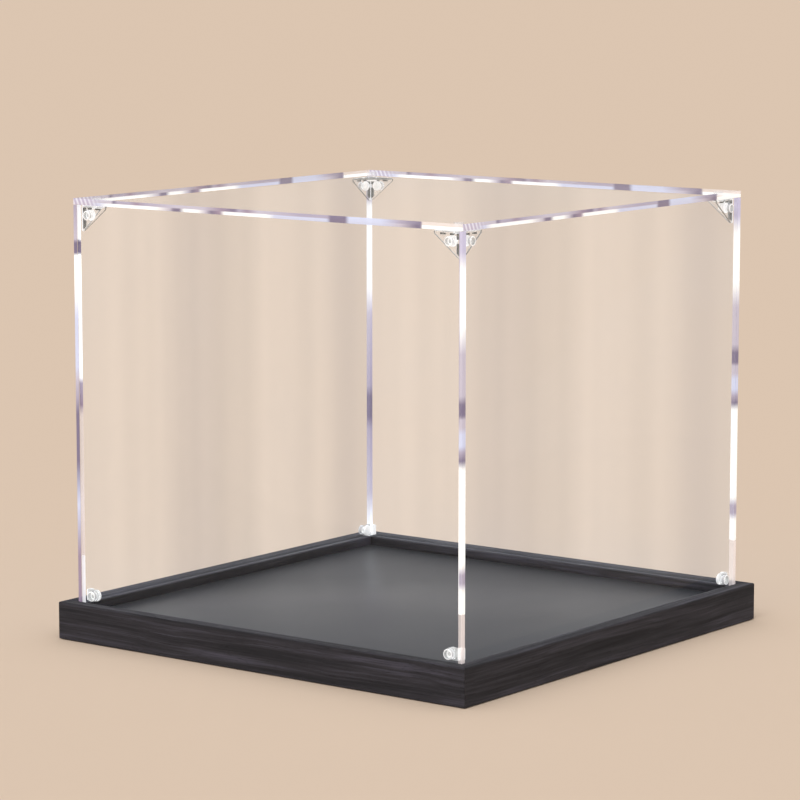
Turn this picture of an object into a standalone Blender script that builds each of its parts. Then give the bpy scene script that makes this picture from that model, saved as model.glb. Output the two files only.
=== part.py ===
"""Display case: a clear acrylic cover that lifts off a black wood-grain tray base.

The cover is five acrylic sheets held by four moulded three-way connectors inside the top
corners and four moulded clips inside the bottom corners. The base is four mitred rails round
a sunken floor panel, with glue blocks and foot pads underneath.

Frame: metres, +Z up, origin on the resting plane under the middle of the base. The front wall
faces -Y and the right wall faces +X.
"""

import math

import bmesh
import bpy

# Driving dimensions
COVER_SIZE = 0.300  # outer width and depth of the clear cover
TOTAL_HEIGHT = 0.279  # resting plane to the top face of the cover
WALL = 0.003  # thickness of the four wall sheets
TOP = 0.004  # thickness of the top sheet
GAP = 0.0003  # clearance between neighbouring pieces

# Base rails
BASE_SIZE = 0.318  # outer width and depth of the base
RIM_TOP = 0.024  # height of the rim
RAIL_WIDTH = 0.0133  # rail, from the outer face to the inner face
RAIL_BOTTOM = 0.0005  # the rails stop short of the resting plane
LIP_WIDTH = 0.0086  # part of the rim outside the cover
LEDGE_DROP = 0.0015  # step in the rim that the cover stands on
OUTER_ROUND = 0.0008  # rounding of the rim's outer edge
INNER_ROUND = 0.0004  # rounding of the lip's inner edge
MITRE_GAP = 0.00015  # half of the gap in each mitre

# Floor panel
FLOOR_TOP = 0.017
FLOOR_THICKNESS = 0.004
TONGUE_DROP = 0.0012  # step down from the floor's face to the tongue round its edge
GROOVE_DEPTH = 0.0053  # groove in the rails' inner faces that holds the tongue

# Glue blocks and foot pads
BLOCK_LEG = 0.034
BLOCK_TIP = 0.004  # blunt end of each leg
BLOCK_BOTTOM = 0.002
PAD_RADIUS = 0.008
PAD_INSET = 0.0125  # pad centre from the block's two straight faces

# Hollow pins of the connectors and clips, which show flush in the sheets' outer faces
PIN_RADIUS = 0.0029
PIN_RECESS = 0.00015  # end of the pin below the sheet's outer face
PIN_CHAMFER = 0.0003
CUP_WALL = 0.0007  # wall of the hollow in the pin's end
CUP_DEPTH = 0.0024
POST_RADIUS = 0.0011  # low centre post on the floor of the hollow
POST_DROP = 0.0019  # top of the post below the end of the pin
BOSS_MARGIN = 0.0004  # boss behind the web, beyond the pin's radius
BOSS_HEIGHT = 0.0012
HOLE_RADIUS = PIN_RADIUS + GAP
PIN_SIDES = 20

# Three-way connectors in the top corners, measured from the cover's outer corner
WEB = 0.0012  # thickness of the three triangular webs
WEB_REACH = (0.0232, 0.0230, 0.0228)  # first leg; no two webs end in the same plane
WEB_DROP = (0.0206, 0.0204, 0.0228)  # second leg; the two upright webs are shorter downward
WEB_TIP = 0.0016  # blunt end of each web
TOP_PIN = 0.0104  # pin centres from the outer corner
SLOT_CLEAR = 0.0004  # slot edge from the neighbouring web
UPRIGHT_SLOT_WIDTH = 0.0018
SHORT_SLOT_END = 0.0094  # the short upright slot starts beside the neighbouring web
LONG_SLOT = (0.0118, 0.0190)  # start and end of the long upright slot
LONG_SLOT_TAPER = 0.0016  # its lower end narrows towards the corner over this height
PIN_SLOT_WIDTH = 0.0011
TIP_SLOT_WIDTH = 0.0010
PIN_SLOT = (0.0090, 0.0116)  # start and end of the level slot above the pin
TIP_SLOT = (0.0150, 0.0186)  # start and end of the level slot near the web's tip

# Clips in the bottom corners, measured from the cover's outer corner
CLIP_PIN = 0.0103  # pin centre from the outer corner
CLIP_PIN_RADIUS = 0.0032
CLIP_HOLE_RADIUS = CLIP_PIN_RADIUS + GAP
CLIP_HEIGHT = 0.0040  # pin centre above the rim
CLIP_HALF = 0.0037  # half of the clip's height
CLIP_FLANGE = 0.0018
CLIP_BLOCK = 0.0034  # side of the block in the corner
CLIP_BLOCK_DEPTH = 0.0048
CLIP_BLOCK_HALF = 0.0034  # half of the block's height
CLIP_CHAMFER = 0.0010
CLIP_WINDOW = (0.0070, 0.0077, 0.0021, 0.0031)  # along the wall, and above and below the middle

# Derived values
LEDGE = RIM_TOP - LEDGE_DROP
WALL_BOTTOM = LEDGE + GAP
WALL_TOP = TOTAL_HEIGHT - TOP - GAP
WALL_HEIGHT = WALL_TOP - WALL_BOTTOM
HALF_COVER = COVER_SIZE / 2
HALF_BASE = BASE_SIZE / 2
RAIL_INNER = HALF_BASE - RAIL_WIDTH
FLOOR_HALF = RAIL_INNER - GAP
TONGUE_HALF = FLOOR_HALF + GROOVE_DEPTH
TONGUE_TOP = FLOOR_TOP - TONGUE_DROP
FLOOR_BOTTOM = FLOOR_TOP - FLOOR_THICKNESS
SIDE_WALL_HALF = HALF_COVER - WALL - GAP
CLIP_Z = RIM_TOP + CLIP_HEIGHT

# The corners in order, each a quarter turn about Z from the one before it
CORNERS = ("front_left", "front_right", "back_right", "back_left")
SIDES = ("front", "right", "back", "left")


def clear_scene():
    """Remove every object that the file starts with."""
    for thing in list(bpy.data.objects):
        bpy.data.objects.remove(thing, do_unlink=True)


def make_collection(name):
    collection = bpy.data.collections.new(name)
    bpy.context.scene.collection.children.link(collection)
    return collection


def make_material(name, colour, roughness, metallic=0.0, alpha=1.0):
    """A Principled material of one colour."""
    material = bpy.data.materials.new(name)
    material.use_nodes = True
    shader = material.node_tree.nodes["Principled BSDF"]
    shader.inputs["Base Color"].default_value = (*colour, 1.0)
    shader.inputs["Roughness"].default_value = roughness
    shader.inputs["Metallic"].default_value = metallic
    shader.inputs["Alpha"].default_value = alpha
    material.diffuse_color = (*colour, alpha)
    return material


def make_group(name, collection, location):
    """An empty that carries the pieces of one moving body."""
    empty = bpy.data.objects.new(name, None)
    empty.location = location
    collection.objects.link(empty)
    return empty


def place(mesh, name, group, location, rotation=(0, 0, 0)):
    """Put a mesh in the scene as one named piece of a group, at a place in the world."""
    piece = bpy.data.objects.new(name, mesh)
    group.users_collection[0].objects.link(piece)
    piece.parent = group
    piece.location = [place_in_world - origin for place_in_world, origin in zip(location, group.location)]
    piece.rotation_euler = rotation
    return piece


def arc(centre, radius, start, end, steps):
    """Points along an arc, with the angles in degrees."""
    points = []
    for step in range(steps + 1):
        angle = math.radians(start + (end - start) * step / steps)
        points.append((centre[0] + radius * math.cos(angle), centre[1] + radius * math.sin(angle)))
    return points


def circle(centre, radius):
    """The ring of points of a pin hole, on the same facets as the pin."""
    return arc(centre, radius, 0, 360, PIN_SIDES)[:-1]


def rectangle(x_low, x_high, y_low, y_high):
    return [(x_low, y_low), (x_high, y_low), (x_high, y_high), (x_low, y_high)]


def mesh_of(thing, name):
    """The evaluated mesh of an object, welded, with its faces pointing out."""
    depsgraph = bpy.context.evaluated_depsgraph_get()
    mesh = bpy.data.meshes.new_from_object(thing.evaluated_get(depsgraph))
    mesh.name = name
    shape = bmesh.new()
    shape.from_mesh(mesh)
    bmesh.ops.remove_doubles(shape, verts=shape.verts, dist=1e-6)
    bmesh.ops.recalc_face_normals(shape, faces=shape.faces)
    shape.to_mesh(mesh)
    shape.free()
    return mesh


def plate(name, outlines, thickness):
    """A flat sheet in local XY, centred on Z, from an outer outline and the outlines of its holes."""
    curve = bpy.data.curves.new(name, "CURVE")
    curve.dimensions = "2D"
    curve.fill_mode = "BOTH"
    curve.extrude = thickness / 2
    for outline in outlines:
        spline = curve.splines.new("POLY")
        spline.points.add(len(outline) - 1)
        for point, (x, y) in zip(spline.points, outline):
            point.co = (x, y, 0, 1)
        spline.use_cyclic_u = True
    thing = bpy.data.objects.new(name, curve)
    bpy.context.scene.collection.objects.link(thing)
    mesh = mesh_of(thing, name)
    bpy.data.objects.remove(thing)
    bpy.data.curves.remove(curve)
    return mesh


def turned(name, profile):
    """A solid of revolution about local Z from a profile of (radius, height) points."""
    mesh = bpy.data.meshes.new(name)
    edges = [(index, index + 1) for index in range(len(profile) - 1)]
    mesh.from_pydata([(radius, 0, height) for radius, height in profile], edges, [])
    thing = bpy.data.objects.new(name, mesh)
    bpy.context.scene.collection.objects.link(thing)
    screw = thing.modifiers.new("turn", "SCREW")
    screw.axis = "Z"
    screw.steps = PIN_SIDES
    screw.render_steps = PIN_SIDES
    screw.use_merge_vertices = True
    screw.merge_threshold = 1e-6
    result = mesh_of(thing, name)
    bpy.data.objects.remove(thing)
    bpy.data.meshes.remove(mesh)
    return result


def join_solids(name, placed_meshes, cutters):
    """One solid from several meshes, each with its place and its turn, by exact unions."""
    first = None
    for index, (mesh, location, rotation) in enumerate(placed_meshes):
        thing = bpy.data.objects.new(f"{name}_shape_{index}", mesh)
        cutters.objects.link(thing)
        thing.location = location
        thing.rotation_euler = rotation
        thing.hide_render = True
        thing.display_type = "WIRE"
        if first is None:
            first = thing
            continue
        union = first.modifiers.new(f"join_{index}", "BOOLEAN")
        union.operation = "UNION"
        union.solver = "EXACT"
        union.object = thing
    bpy.context.view_layer.update()
    result = mesh_of(first, name)
    result.transform(first.matrix_world)
    return result


def smooth(mesh):
    """Shade round faces smooth and leave the edges of the shape sharp."""
    mesh.shade_smooth()
    mesh.set_sharp_from_angle(angle=math.radians(35))


# Base


def rail_mesh():
    """One rail. Local X runs inward from the outer face, Y up and Z along the rail."""
    lip = LIP_WIDTH
    groove_low = FLOOR_BOTTOM - GAP
    groove_high = TONGUE_TOP + GAP
    groove_bottom = RAIL_WIDTH - GROOVE_DEPTH
    outline = [(0, RAIL_BOTTOM), (RAIL_WIDTH, RAIL_BOTTOM)]
    outline += [(RAIL_WIDTH, groove_low), (groove_bottom, groove_low)]
    outline += [(groove_bottom, groove_high), (RAIL_WIDTH, groove_high)]
    outline += [(RAIL_WIDTH, LEDGE), (lip, LEDGE)]
    outline += arc((lip - INNER_ROUND, RIM_TOP - INNER_ROUND), INNER_ROUND, 0, 90, 3)
    outline += arc((OUTER_ROUND, RIM_TOP - OUTER_ROUND), OUTER_ROUND, 90, 180, 4)
    mesh = plate("rail", [outline], BASE_SIZE)
    for vertex in mesh.vertices:
        vertex.co.z -= math.copysign(vertex.co.x + MITRE_GAP, vertex.co.z)
    return mesh


def make_rails(group, material):
    mesh = rail_mesh()
    mesh.materials.append(material)
    for turn, side in enumerate(SIDES):
        angle = math.radians(90 * turn)
        location = (HALF_BASE * math.sin(angle), -HALF_BASE * math.cos(angle), 0)
        place(mesh, f"rail_{side}", group, location, (math.pi / 2, 0, math.pi / 2 + angle))


def square_plate(name, half, bottom, top):
    """A square sheet about the middle of the base, with its place for join_solids."""
    mesh = plate(name, [rectangle(-half, half, -half, half)], top - bottom)
    return mesh, (0, 0, (top + bottom) / 2), (0, 0, 0)


def make_floor(group, material, cutters):
    """The floor fills the space between the rails, and its tongue runs in their grooves."""
    tongue = square_plate("floor_tongue", TONGUE_HALF, FLOOR_BOTTOM, TONGUE_TOP)
    field = square_plate("floor_field", FLOOR_HALF, (FLOOR_BOTTOM + TONGUE_TOP) / 2, FLOOR_TOP)
    mesh = join_solids("floor_panel", [tongue, field], cutters)
    mesh.materials.append(material)
    place(mesh, "floor_panel", group, (0, 0, 0))


def corner_turn(index, distance):
    """Place and turn about Z of a corner piece modelled at the front left corner."""
    angle = math.radians(90 * index)
    x = distance * (math.sin(angle) - math.cos(angle))
    y = -distance * (math.sin(angle) + math.cos(angle))
    return x, y, angle


def make_glue_blocks(group, material):
    """Triangular blocks behind the mitres. Local X and Y run along the two rails."""
    leg = BLOCK_LEG
    top = FLOOR_BOTTOM - GAP
    outline = [(0, 0), (leg, 0), (leg, BLOCK_TIP), (BLOCK_TIP, leg), (0, leg)]
    mesh = plate("glue_block", [outline], top - BLOCK_BOTTOM)
    mesh.materials.append(material)
    for index, corner in enumerate(CORNERS):
        x, y, angle = corner_turn(index, RAIL_INNER - GAP)
        place(mesh, f"glue_block_{corner}", group, (x, y, (top + BLOCK_BOTTOM) / 2), (0, 0, angle))


def make_foot_pads(group, material):
    height = BLOCK_BOTTOM - GAP
    shape = bmesh.new()
    bmesh.ops.create_cone(
        shape, cap_ends=True, segments=32, radius1=PAD_RADIUS, radius2=PAD_RADIUS, depth=height
    )
    mesh = bpy.data.meshes.new("foot_pad")
    shape.to_mesh(mesh)
    shape.free()
    smooth(mesh)
    mesh.materials.append(material)
    for index, corner in enumerate(CORNERS):
        x, y, angle = corner_turn(index, RAIL_INNER - GAP - PAD_INSET)
        place(mesh, f"foot_pad_{corner}", group, (x, y, height / 2), (0, 0, angle))


# Cover


def wall_mesh(name, half_width, bottom_holes):
    """A wall sheet. Local X runs along the wall and Y up from its bottom edge."""
    pin_x = HALF_COVER - TOP_PIN
    pin_y = TOTAL_HEIGHT - TOP_PIN - WALL_BOTTOM
    clip_x = HALF_COVER - CLIP_PIN
    clip_y = CLIP_Z - WALL_BOTTOM
    outlines = [rectangle(-half_width, half_width, 0, WALL_HEIGHT)]
    outlines += [circle((side * pin_x, pin_y), HOLE_RADIUS) for side in (-1, 1)]
    outlines += [circle((side * clip_x, clip_y), CLIP_HOLE_RADIUS) for side in bottom_holes]
    return plate(name, outlines, WALL)


def make_walls(group, material):
    """The front and back walls cover the ends of the side walls."""
    middle = HALF_COVER - WALL / 2
    side_mesh = wall_mesh("wall_side", SIDE_WALL_HALF, (1,))
    walls = (
        ("wall_front", wall_mesh("wall_front", HALF_COVER, (-1, 1)), (0, -middle), 0),
        ("wall_back", wall_mesh("wall_back", HALF_COVER, ()), (0, middle), 0),
        ("wall_right", side_mesh, (middle, 0), math.pi / 2),
        ("wall_left", side_mesh, (-middle, 0), math.pi / 2),
    )
    for name, mesh, (x, y), angle in walls:
        if not mesh.materials:
            mesh.materials.append(material)
        place(mesh, name, group, (x, y, WALL_BOTTOM), (math.pi / 2, 0, angle))


def make_top(group, material):
    half = HALF_COVER
    pin = HALF_COVER - TOP_PIN
    outlines = [rectangle(-half, half, -half, half)]
    outlines += [circle((x, y), HOLE_RADIUS) for x in (-pin, pin) for y in (-pin, pin)]
    mesh = plate("top_panel", outlines, TOP)
    mesh.materials.append(material)
    place(mesh, "top_panel", group, (0, 0, TOTAL_HEIGHT - TOP / 2))


def pin_mesh(name, radius, sheet, backing):
    """A hollow pin and its boss. Local Z runs inward from the sheet's outer face."""
    cup_radius = radius - CUP_WALL
    boss_radius = radius + BOSS_MARGIN
    shank_end = sheet + GAP + backing / 2
    boss_end = sheet + GAP + backing + BOSS_HEIGHT
    profile = [
        (0, PIN_RECESS + POST_DROP),
        (POST_RADIUS, PIN_RECESS + POST_DROP),
        (POST_RADIUS, PIN_RECESS + CUP_DEPTH),
        (cup_radius, PIN_RECESS + CUP_DEPTH),
        (cup_radius, PIN_RECESS),
        (radius - PIN_CHAMFER, PIN_RECESS),
        (radius, PIN_RECESS + PIN_CHAMFER),
        (radius, shank_end),
        (boss_radius, shank_end),
        (boss_radius, boss_end),
        (0, boss_end),
    ]
    return turned(name, profile)


def web_outlines(x_face, y_face, reach, drop):
    """A triangular web with two slots along each leg, clear of the pin.

    The outer faces of the neighbouring webs are at x_face and y_face, and this web starts in
    the middle of their thickness.
    """
    x_start = x_face + WEB / 2
    y_start = y_face + WEB / 2
    outline = [(x_start, y_start), (reach, y_start), (reach, y_start + WEB_TIP)]
    outline += [(x_start + WEB_TIP, drop), (x_start, drop)]
    x_slot = x_face + WEB + SLOT_CLEAR
    y_slot = y_face + WEB + SLOT_CLEAR
    x_end = x_slot + UPRIGHT_SLOT_WIDTH
    short_slot = rectangle(x_slot, x_end, y_slot, SHORT_SLOT_END)
    long_slot = [(x_slot, LONG_SLOT[0]), (x_end, LONG_SLOT[0]), (x_end, LONG_SLOT[1] - LONG_SLOT_TAPER)]
    long_slot += [(x_end - LONG_SLOT_TAPER, LONG_SLOT[1]), (x_slot, LONG_SLOT[1])]
    pin_slot = rectangle(*PIN_SLOT, y_slot, y_slot + PIN_SLOT_WIDTH)
    tip_slot = rectangle(*TIP_SLOT, y_slot, y_slot + TIP_SLOT_WIDTH)
    return [outline, short_slot, long_slot, pin_slot, tip_slot]


def make_connectors(group, material, cutters):
    """Three-way connectors. Local X and Y run inward from the outer corner, and Z runs up."""
    start = WALL + GAP
    top_start = TOP + GAP
    webs = []
    for reach, drop, y_face in zip(WEB_REACH, WEB_DROP, (top_start, top_start, start)):
        webs.append(plate("connector_web", web_outlines(start, y_face, reach, drop), WEB))
    wall_pin = pin_mesh("connector_wall_pin", PIN_RADIUS, WALL, WEB)
    top_pin = pin_mesh("connector_top_pin", PIN_RADIUS, TOP, WEB)
    quarter = math.pi / 2
    solids = [
        (webs[0], (0, start + WEB / 2, 0), (-quarter, 0, 0)),
        (webs[1], (start + WEB / 2, 0, 0), (-quarter, 0, quarter)),
        (webs[2], (0, 0, -top_start - WEB / 2), (0, 0, 0)),
        (wall_pin, (TOP_PIN, 0, -TOP_PIN), (-quarter, 0, 0)),
        (wall_pin, (0, TOP_PIN, -TOP_PIN), (0, quarter, 0)),
        (top_pin, (TOP_PIN, TOP_PIN, 0), (math.pi, 0, 0)),
    ]
    mesh = join_solids("top_connector", solids, cutters)
    smooth(mesh)
    mesh.materials.append(material)
    for index, corner in enumerate(CORNERS):
        x, y, angle = corner_turn(index, HALF_COVER)
        place(mesh, f"top_connector_{corner}", group, (x, y, TOTAL_HEIGHT), (0, 0, angle))


def make_clips(group, material, cutters):
    """Bottom clips. Local X runs along the pinned wall, Y inward and Z up from the pin's height.

    One moulding fits all four corners, because its upper and lower halves are the same: two
    corners take it turned upside down.
    """
    start = WALL + GAP
    half = CLIP_HALF
    flange_start = start + CLIP_BLOCK / 2
    flange_outline = [(flange_start, -half), *arc((CLIP_PIN, 0), half, -90, 90, PIN_SIDES // 2)]
    flange_outline += [(flange_start, half)]
    upper_window = rectangle(*CLIP_WINDOW)
    lower_window = [(x, -y) for x, y in upper_window]
    flange = plate("clip_flange", [flange_outline, upper_window, lower_window], CLIP_FLANGE)
    block_start = start + CLIP_FLANGE / 2
    x_end = start + CLIP_BLOCK
    y_end = start + CLIP_BLOCK_DEPTH
    block_outline = [(start, block_start), (x_end, block_start), (x_end, y_end - CLIP_CHAMFER)]
    block_outline += [(x_end - CLIP_CHAMFER, y_end), (start, y_end)]
    block = plate("clip_block", [block_outline], 2 * CLIP_BLOCK_HALF)
    pin = pin_mesh("clip_pin", CLIP_PIN_RADIUS, WALL, CLIP_FLANGE)
    quarter = math.pi / 2
    solids = [
        (flange, (0, start + CLIP_FLANGE / 2, 0), (-quarter, 0, 0)),
        (block, (0, 0, 0), (0, 0, 0)),
        (pin, (CLIP_PIN, 0, 0), (-quarter, 0, 0)),
    ]
    mesh = join_solids("bottom_clip", solids, cutters)
    smooth(mesh)
    mesh.materials.append(material)
    turns = (
        ("front_left", 0, 0),
        ("front_right", math.pi, 0),
        ("back_right", math.pi, quarter),
        ("back_left", 0, -quarter),
    )
    for index, (corner, flip, angle) in enumerate(turns):
        x, y, _ = corner_turn(index, HALF_COVER)
        place(mesh, f"bottom_clip_{corner}", group, (x, y, CLIP_Z), (0, flip, angle))


def main():
    clear_scene()
    case = make_collection("display_case")
    cutters = make_collection("cutters")
    base = make_group("base", case, (0, 0, 0))
    cover = make_group("cover", case, (0, 0, RIM_TOP))
    black_wood = make_material("black_wood_grain", (0.026, 0.025, 0.028), 0.55)
    grey_board = make_material("dark_grey_board", (0.085, 0.085, 0.088), 0.35)
    raw_wood = make_material("raw_wood", (0.45, 0.33, 0.20), 0.8)
    dark_rubber = make_material("dark_rubber", (0.03, 0.03, 0.03), 0.9)
    acrylic = make_material("clear_acrylic", (0.92, 0.95, 0.97), 0.03, alpha=0.25)
    clear_plastic = make_material("clear_moulded_plastic", (0.86, 0.88, 0.90), 0.12, alpha=0.5)
    make_rails(base, black_wood)
    make_floor(base, grey_board, cutters)
    make_glue_blocks(base, raw_wood)
    make_foot_pads(base, dark_rubber)
    make_walls(cover, acrylic)
    make_top(cover, acrylic)
    make_connectors(cover, clear_plastic, cutters)
    make_clips(cover, clear_plastic, cutters)


main()
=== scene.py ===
"""Looks of the display case: a clear acrylic cover on a black wood-grain tray base.

Everything is in metres in the row frame: +Z up, the front wall faces -Y and the right wall +X.
Each CAD node is replaced by a finer piece of the same size in the same place.
"""

import math

import bmesh
import bpy
from mathutils import Euler, Matrix, Vector


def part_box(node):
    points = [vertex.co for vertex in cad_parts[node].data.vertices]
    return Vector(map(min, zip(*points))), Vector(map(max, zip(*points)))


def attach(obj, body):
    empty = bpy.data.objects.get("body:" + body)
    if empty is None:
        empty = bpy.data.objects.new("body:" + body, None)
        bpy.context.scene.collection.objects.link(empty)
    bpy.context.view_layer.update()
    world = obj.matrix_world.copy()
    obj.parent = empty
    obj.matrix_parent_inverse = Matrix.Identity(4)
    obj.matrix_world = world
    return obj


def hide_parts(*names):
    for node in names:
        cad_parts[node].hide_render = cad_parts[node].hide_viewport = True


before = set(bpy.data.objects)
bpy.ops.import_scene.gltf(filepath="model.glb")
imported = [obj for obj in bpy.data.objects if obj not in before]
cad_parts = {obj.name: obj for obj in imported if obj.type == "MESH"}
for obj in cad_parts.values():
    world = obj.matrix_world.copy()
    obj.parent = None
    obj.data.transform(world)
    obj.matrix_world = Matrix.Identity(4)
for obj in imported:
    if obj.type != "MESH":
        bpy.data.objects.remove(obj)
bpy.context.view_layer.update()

# Sizes that the boxes of the CAD nodes don't give
GAP = 0.0003
PIN_RADIUS = 0.0029
PIN_RECESS = 0.00015
PIN_CHAMFER = 0.0003
CUP_WALL = 0.0007
CUP_DEPTH = 0.0024
POST_RADIUS = 0.0011
POST_DROP = 0.0019
BOSS_MARGIN = 0.0004
BOSS_HEIGHT = 0.0012
TOP_PIN = 0.0104
WEB = 0.0012
WEB_REACH = (0.0232, 0.0230, 0.0228)
WEB_DROP = (0.0206, 0.0204, 0.0228)
WEB_TIP = 0.0016
SLOT_CLEAR = 0.0004
UPRIGHT_SLOT_WIDTH = 0.0018
SHORT_SLOT_END = 0.0094
LONG_SLOT = (0.0118, 0.0190)
LONG_SLOT_TAPER = 0.0016
PIN_SLOT_WIDTH = 0.0011
TIP_SLOT_WIDTH = 0.0010
PIN_SLOT = (0.0090, 0.0116)
TIP_SLOT = (0.0150, 0.0186)
CLIP_PIN = 0.0103
CLIP_PIN_RADIUS = 0.0032
CLIP_HEIGHT = 0.0040
CLIP_HALF = 0.0037
CLIP_FLANGE = 0.0018
CLIP_BLOCK = 0.0034
CLIP_BLOCK_DEPTH = 0.0048
CLIP_BLOCK_HALF = 0.0034
CLIP_CHAMFER = 0.0010
CLIP_WINDOW = (0.0070, 0.0077, 0.0021, 0.0031)
CORNER_BAND = 0.0024

# How near two lengths must be to count as the same place on a mesh
NEAR = 0.0001
END_NEAR = 0.0006
FACE_NEAR = 0.00005

# Fineness of the finished surfaces
SHEET_ARRIS = 0.00018
RAIL_ARRIS = 0.00015
PLASTIC_ARRIS = 0.0001
BLOCK_ARRIS = 0.0006
PAD_ARRIS = 0.0005
# Thickness of the dark sheets of painted shade across the slots of the corner pieces
SLOT_SHADE_SHEET = 0.0002
ROUND_SIDES = 64

# How much of its real mirror a clear sheet keeps, so that it does not veil what is behind it
MIRROR_SHARE = 0.18

# How far the stage lies below the foot pads, so that the two faces do not coincide
STAGE_DROP = 0.0001

# Optics
ACRYLIC_IOR = 1.49
CLEAR_TINT = (0.98, 0.98, 0.98, 1)
# Painted light: a tint above one that brightens what is seen through the back and left sheets
BACK_BRIGHTENING_TINT = (1.075, 1.10, 1.13, 1)
NEAR_HAZE = 0.004
BACK_HAZE = 0.05
HATCH_RATE = 550.0
HATCH_SLANT = 3.2
HATCH_END = 0.085

# Camera and light
CAMERA_PLACE = (1.2862, -1.6997, 0.4516)
CAMERA_TURN = (81.90, 0, 37.31)
CAMERA_LENS = 152.56
LAMP_TURN = (42, 0, 20)
LAMP_STRENGTH = 1.2
LAMP_ANGLE = 50
SKY_STRENGTH = 0.8
STAGE_RADIUS = 40.0

# Sizes read from the frame
TOP_LOW, TOP_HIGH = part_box("top_panel")
FRONT_LOW, FRONT_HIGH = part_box("wall_front")
RIM_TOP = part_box("rail_front")[1].z
HALF_COVER = TOP_HIGH.x
TOTAL_HEIGHT = TOP_HIGH.z
TOP_SHEET = TOP_HIGH.z - TOP_LOW.z
WALL_SHEET = FRONT_HIGH.y - FRONT_LOW.y
CLIP_Z = RIM_TOP + CLIP_HEIGHT

CORNERS = ("front_left", "front_right", "back_right", "back_left")
SIDES = ("front", "right", "back", "left")


def srgb(text, alpha=1.0):
    """A linear colour from six hex digits."""
    channels = [int(text[start:start + 2], 16) / 255 for start in (0, 2, 4)]
    linear = [c / 12.92 if c <= 0.04045 else ((c + 0.055) / 1.055) ** 2.4 for c in channels]
    return (*linear, alpha)


# Tones of painted light and shade that a polished acrylic edge shows along its length, painted reflections
# and refractions of what is round it; the last value is how solid it looks
WHITE = srgb("fbffff", 0.97)
PALE_BLUE = srgb("c6cde6", 0.95)
PERIWINKLE = srgb("bebad2", 0.94)
LILAC = srgb("bbb6c5", 0.93)
LAVENDER = srgb("a59eb3", 0.93)
MAUVE = srgb("948499", 0.93)
SHADE = srgb("766e88", 0.93)
PINK_CLEAR = srgb("efe6e4", 0.5)
FAINT_WHITE = srgb("f4f6f8", 0.72)


# Mesh tools


def mesh_of(thing, name):
    """The evaluated mesh of an object, welded, with its faces pointing out."""
    mesh = bpy.data.meshes.new_from_object(thing.evaluated_get(bpy.context.evaluated_depsgraph_get()))
    mesh.name = name
    shape = bmesh.new()
    shape.from_mesh(mesh)
    bmesh.ops.remove_doubles(shape, verts=shape.verts, dist=1e-6)
    bmesh.ops.recalc_face_normals(shape, faces=shape.faces)
    shape.to_mesh(mesh)
    shape.free()
    return mesh


def consumed(name, data):
    """The mesh that an object with this data evaluates to. The data goes."""
    thing = bpy.data.objects.new(name, data)
    bpy.context.scene.collection.objects.link(thing)
    mesh = mesh_of(thing, name)
    bpy.data.objects.remove(thing)
    return mesh


def plate(name, outlines, thickness):
    """A flat sheet in local XY, centred on Z, from an outer outline and the outlines of its holes."""
    curve = bpy.data.curves.new(name, "CURVE")
    curve.dimensions = "2D"
    curve.fill_mode = "BOTH"
    curve.extrude = thickness / 2
    for outline in outlines:
        spline = curve.splines.new("POLY")
        spline.points.add(len(outline) - 1)
        for point, (x, y) in zip(spline.points, outline):
            point.co = (x, y, 0, 1)
        spline.use_cyclic_u = True
    return consumed(name, curve)


def turned(name, profile, steps=ROUND_SIDES):
    """A solid of revolution about local Z from a profile of (radius, height) points."""
    mesh = bpy.data.meshes.new(name)
    edges = [(index, index + 1) for index in range(len(profile) - 1)]
    mesh.from_pydata([(radius, 0, height) for radius, height in profile], edges, [])
    thing = bpy.data.objects.new(name, mesh)
    bpy.context.scene.collection.objects.link(thing)
    screw = thing.modifiers.new("turn", "SCREW")
    screw.axis = "Z"
    screw.steps = screw.render_steps = steps
    screw.use_merge_vertices = True
    screw.merge_threshold = 1e-6
    result = mesh_of(thing, name)
    bpy.data.objects.remove(thing)
    return result


def rounded(mesh, width, segments=2, angle=35):
    """The mesh with its sharp edges rounded, merged into large faces first."""
    shape = bmesh.new()
    shape.from_mesh(mesh)
    bmesh.ops.remove_doubles(shape, verts=shape.verts, dist=1e-6)
    bmesh.ops.dissolve_limit(shape, angle_limit=math.radians(0.5), verts=shape.verts, edges=shape.edges)
    shape.to_mesh(mesh)
    shape.free()
    thing = bpy.data.objects.new(mesh.name, mesh)
    bpy.context.scene.collection.objects.link(thing)
    bevel = thing.modifiers.new("arris", "BEVEL")
    bevel.width = width
    bevel.segments = segments
    bevel.limit_method = "ANGLE"
    bevel.angle_limit = math.radians(angle)
    result = mesh_of(thing, mesh.name)
    bpy.data.objects.remove(thing)
    return result


def arc(centre, radius, start, end, steps):
    """Points along an arc, with the angles in degrees."""
    points = []
    for step in range(steps + 1):
        angle = math.radians(start + (end - start) * step / steps)
        points.append((centre[0] + radius * math.cos(angle), centre[1] + radius * math.sin(angle)))
    return points


def circle(centre, radius):
    return arc(centre, radius, 0, 360, ROUND_SIDES)[:-1]


def rectangle(x_low, x_high, y_low, y_high):
    return [(x_low, y_low), (x_high, y_low), (x_high, y_high), (x_low, y_high)]


def union(name, placed_meshes):
    """One closed mesh from several (mesh, location, rotation) solids that overlap."""
    things = []
    for mesh, location, rotation in placed_meshes:
        solid = mesh.copy()
        solid.transform(Matrix.Translation(location) @ Euler(rotation).to_matrix().to_4x4())
        thing = bpy.data.objects.new(name, solid)
        bpy.context.scene.collection.objects.link(thing)
        things.append(thing)
    for other in things[1:]:
        join = things[0].modifiers.new("join", "BOOLEAN")
        join.operation = "UNION"
        join.solver = "EXACT"
        join.object = other
    result = mesh_of(things[0], name)
    for thing in things:
        bpy.data.objects.remove(thing)
    return result


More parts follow.
